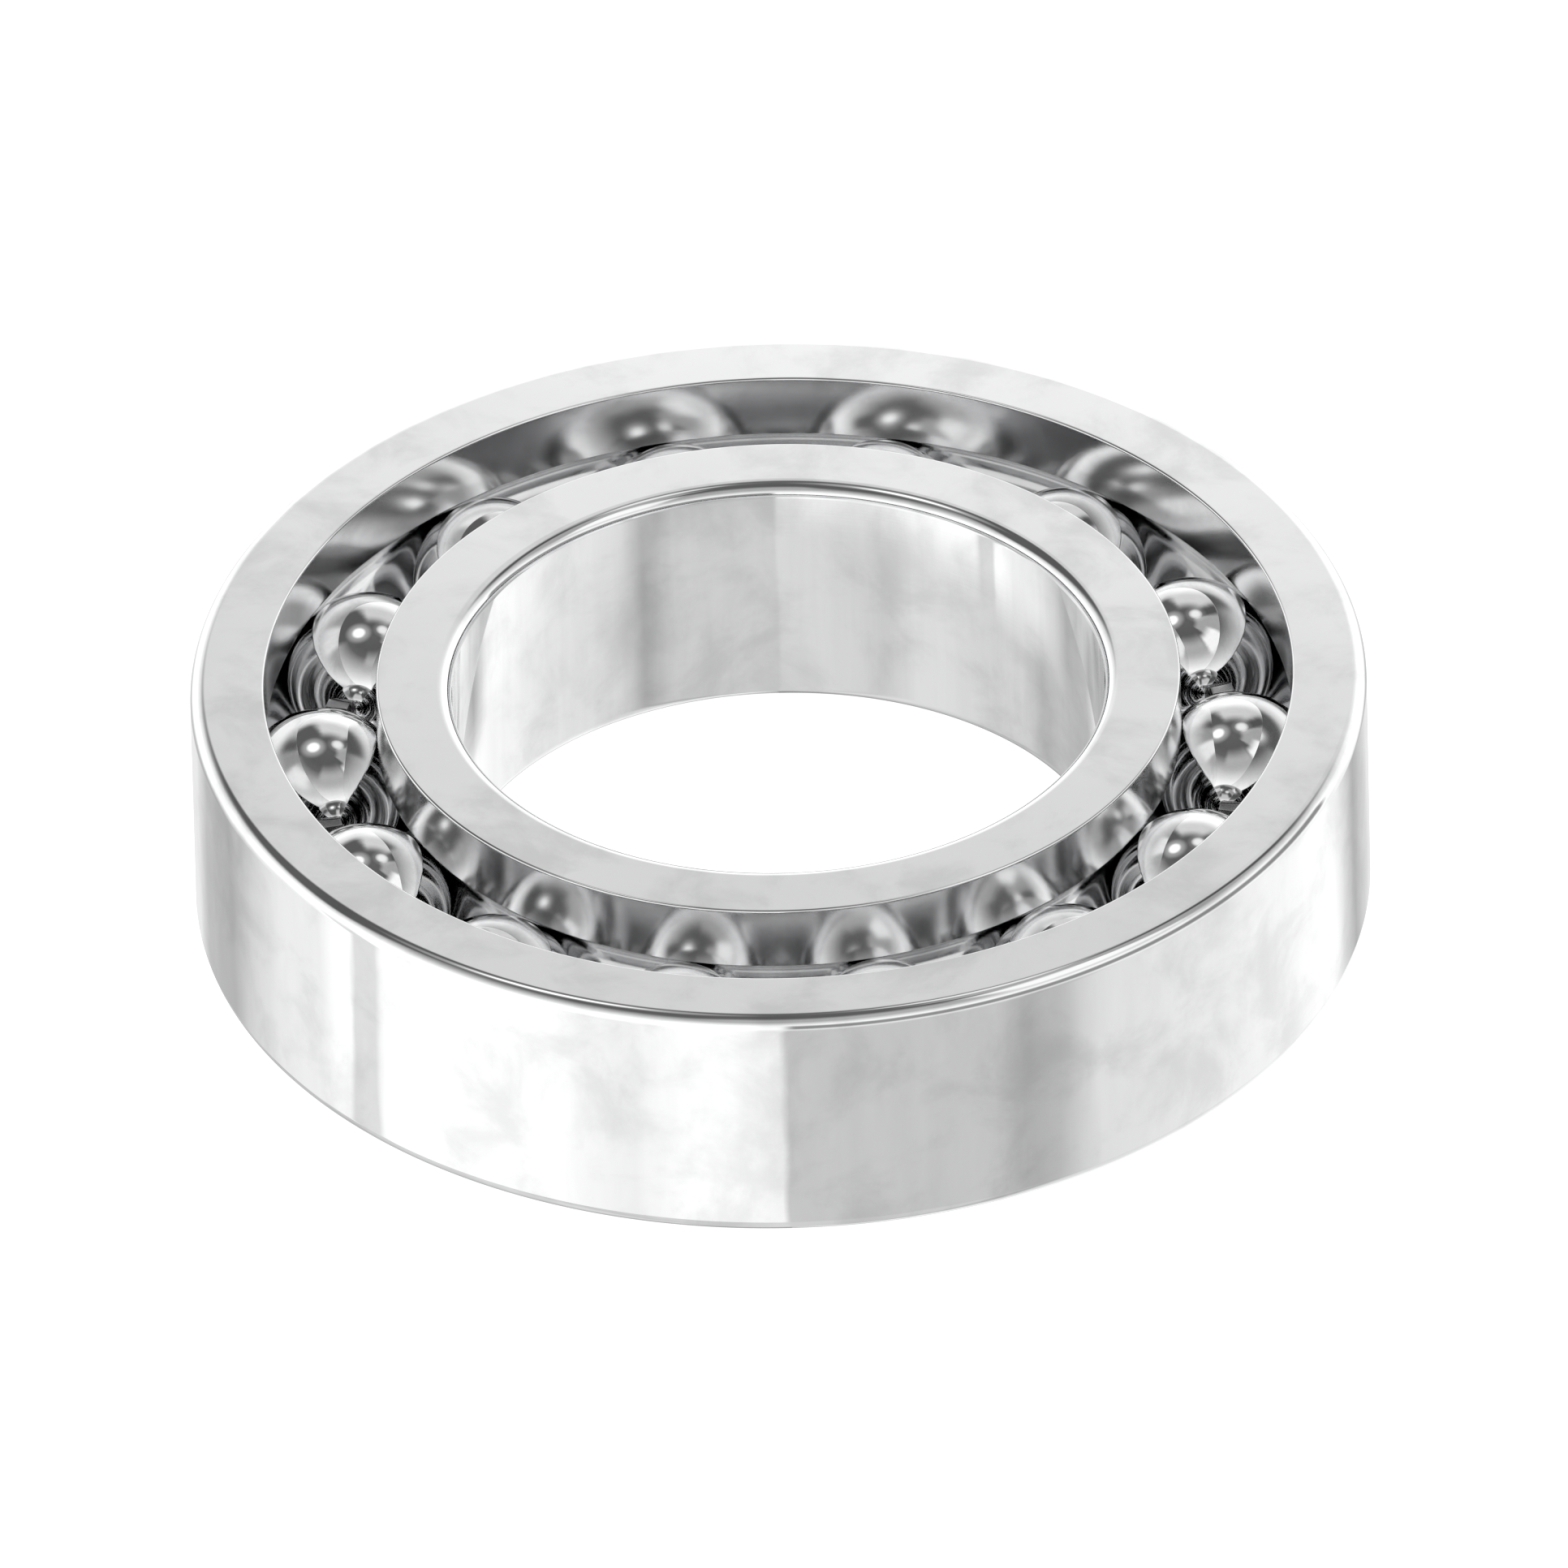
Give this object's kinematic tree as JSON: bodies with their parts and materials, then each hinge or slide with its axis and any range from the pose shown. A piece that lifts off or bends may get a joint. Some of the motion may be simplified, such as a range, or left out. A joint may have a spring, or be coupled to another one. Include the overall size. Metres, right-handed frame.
{
  "type": "deep groove ball bearing",
  "caption": "Open single-row deep groove ball bearing: grooved outer and inner rings, rolling balls and a snap-in cage that turns with them.",
  "frame": {"origin": "centre of the bearing: on the bore axis, halfway between the two side faces, which is also the centre of the ball circle", "axes": "+Z along the bore axis, towards the open side where the balls show; the cage's closed ring is on the -Z side; the first ball stands 0.7 degrees before +X"},
  "size_m": [0.09, 0.09, 0.02],
  "materials": {
    "ring_steel": "ground and polished bearing steel, near mirror",
    "ball_steel": "lapped bearing steel, mirror",
    "cage_steel": "machined and tumbled steel, satin"
  },
  "bodies": {
    "outer_ring": {"outer_ring": "ring_steel"},
    "inner_ring": {"inner_ring": "ring_steel"},
    "cage": {"snap_cage": "cage_steel"},
    "ball_01": {"ball_01": "ball_steel"},
    "ball_02": {"ball_02": "ball_steel"},
    "ball_03": {"ball_03": "ball_steel"},
    "ball_04": {"ball_04": "ball_steel"},
    "ball_05": {"ball_05": "ball_steel"},
    "ball_06": {"ball_06": "ball_steel"},
    "ball_07": {"ball_07": "ball_steel"},
    "ball_08": {"ball_08": "ball_steel"},
    "ball_09": {"ball_09": "ball_steel"},
    "ball_10": {"ball_10": "ball_steel"},
    "ball_11": {"ball_11": "ball_steel"},
    "ball_12": {"ball_12": "ball_steel"},
    "ball_13": {"ball_13": "ball_steel"},
    "ball_14": {"ball_14": "ball_steel"}
  },
  "joints": [
    {"name": "inner_ring_spin", "type": "hinge", "parent": "outer_ring", "child": "inner_ring", "pos_m": [0, 0, 0], "axis": [0, 0, 1], "continuous": true},
    {"name": "cage_orbit", "type": "hinge", "parent": "outer_ring", "child": "cage", "pos_m": [0, 0, 0], "axis": [0, 0, 1], "continuous": true},
    {"name": "ball_01_roll", "type": "hinge", "parent": "cage", "child": "ball_01", "pos_m": [0.035, -0.00043, 0], "axis": [0, 0, 1], "continuous": true},
    {"name": "ball_02_roll", "type": "hinge", "parent": "cage", "child": "ball_02", "pos_m": [0.03172, 0.0148, 0], "axis": [0, 0, 1], "continuous": true},
    {"name": "ball_03_roll", "type": "hinge", "parent": "cage", "child": "ball_03", "pos_m": [0.02215, 0.0271, 0], "axis": [0, 0, 1], "continuous": true},
    {"name": "ball_04_roll", "type": "hinge", "parent": "cage", "child": "ball_04", "pos_m": [0.0082, 0.03402, 0], "axis": [0, 0, 1], "continuous": true},
    {"name": "ball_05_roll", "type": "hinge", "parent": "cage", "child": "ball_05", "pos_m": [-0.00737, 0.03422, 0], "axis": [0, 0, 1], "continuous": true},
    {"name": "ball_06_roll", "type": "hinge", "parent": "cage", "child": "ball_06", "pos_m": [-0.02149, 0.02763, 0], "axis": [0, 0, 1], "continuous": true},
    {"name": "ball_07_roll", "type": "hinge", "parent": "cage", "child": "ball_07", "pos_m": [-0.03135, 0.01557, 0], "axis": [0, 0, 1], "continuous": true},
    {"name": "ball_08_roll", "type": "hinge", "parent": "cage", "child": "ball_08", "pos_m": [-0.035, 0.00043, 0], "axis": [0, 0, 1], "continuous": true},
    {"name": "ball_09_roll", "type": "hinge", "parent": "cage", "child": "ball_09", "pos_m": [-0.03172, -0.0148, 0], "axis": [0, 0, 1], "continuous": true},
    {"name": "ball_10_roll", "type": "hinge", "parent": "cage", "child": "ball_10", "pos_m": [-0.02215, -0.0271, 0], "axis": [0, 0, 1], "continuous": true},
    {"name": "ball_11_roll", "type": "hinge", "parent": "cage", "child": "ball_11", "pos_m": [-0.0082, -0.03402, 0], "axis": [0, 0, 1], "continuous": true},
    {"name": "ball_12_roll", "type": "hinge", "parent": "cage", "child": "ball_12", "pos_m": [0.00737, -0.03422, 0], "axis": [0, 0, 1], "continuous": true},
    {"name": "ball_13_roll", "type": "hinge", "parent": "cage", "child": "ball_13", "pos_m": [0.02149, -0.02763, 0], "axis": [0, 0, 1], "continuous": true},
    {"name": "ball_14_roll", "type": "hinge", "parent": "cage", "child": "ball_14", "pos_m": [0.03135, -0.01557, 0], "axis": [0, 0, 1], "continuous": true}
  ],
  "couplings": [
    {"joint": "cage_orbit", "follows": "inner_ring_spin", "ratio": 0.40929},
    {"joint": "ball_01_roll", "follows": "inner_ring_spin", "ratio": -2.6652},
    {"joint": "ball_02_roll", "follows": "inner_ring_spin", "ratio": -2.6652},
    {"joint": "ball_03_roll", "follows": "inner_ring_spin", "ratio": -2.6652},
    {"joint": "ball_04_roll", "follows": "inner_ring_spin", "ratio": -2.6652},
    {"joint": "ball_05_roll", "follows": "inner_ring_spin", "ratio": -2.6652},
    {"joint": "ball_06_roll", "follows": "inner_ring_spin", "ratio": -2.6652},
    {"joint": "ball_07_roll", "follows": "inner_ring_spin", "ratio": -2.6652},
    {"joint": "ball_08_roll", "follows": "inner_ring_spin", "ratio": -2.6652},
    {"joint": "ball_09_roll", "follows": "inner_ring_spin", "ratio": -2.6652},
    {"joint": "ball_10_roll", "follows": "inner_ring_spin", "ratio": -2.6652},
    {"joint": "ball_11_roll", "follows": "inner_ring_spin", "ratio": -2.6652},
    {"joint": "ball_12_roll", "follows": "inner_ring_spin", "ratio": -2.6652},
    {"joint": "ball_13_roll", "follows": "inner_ring_spin", "ratio": -2.6652},
    {"joint": "ball_14_roll", "follows": "inner_ring_spin", "ratio": -2.6652}
  ]
}
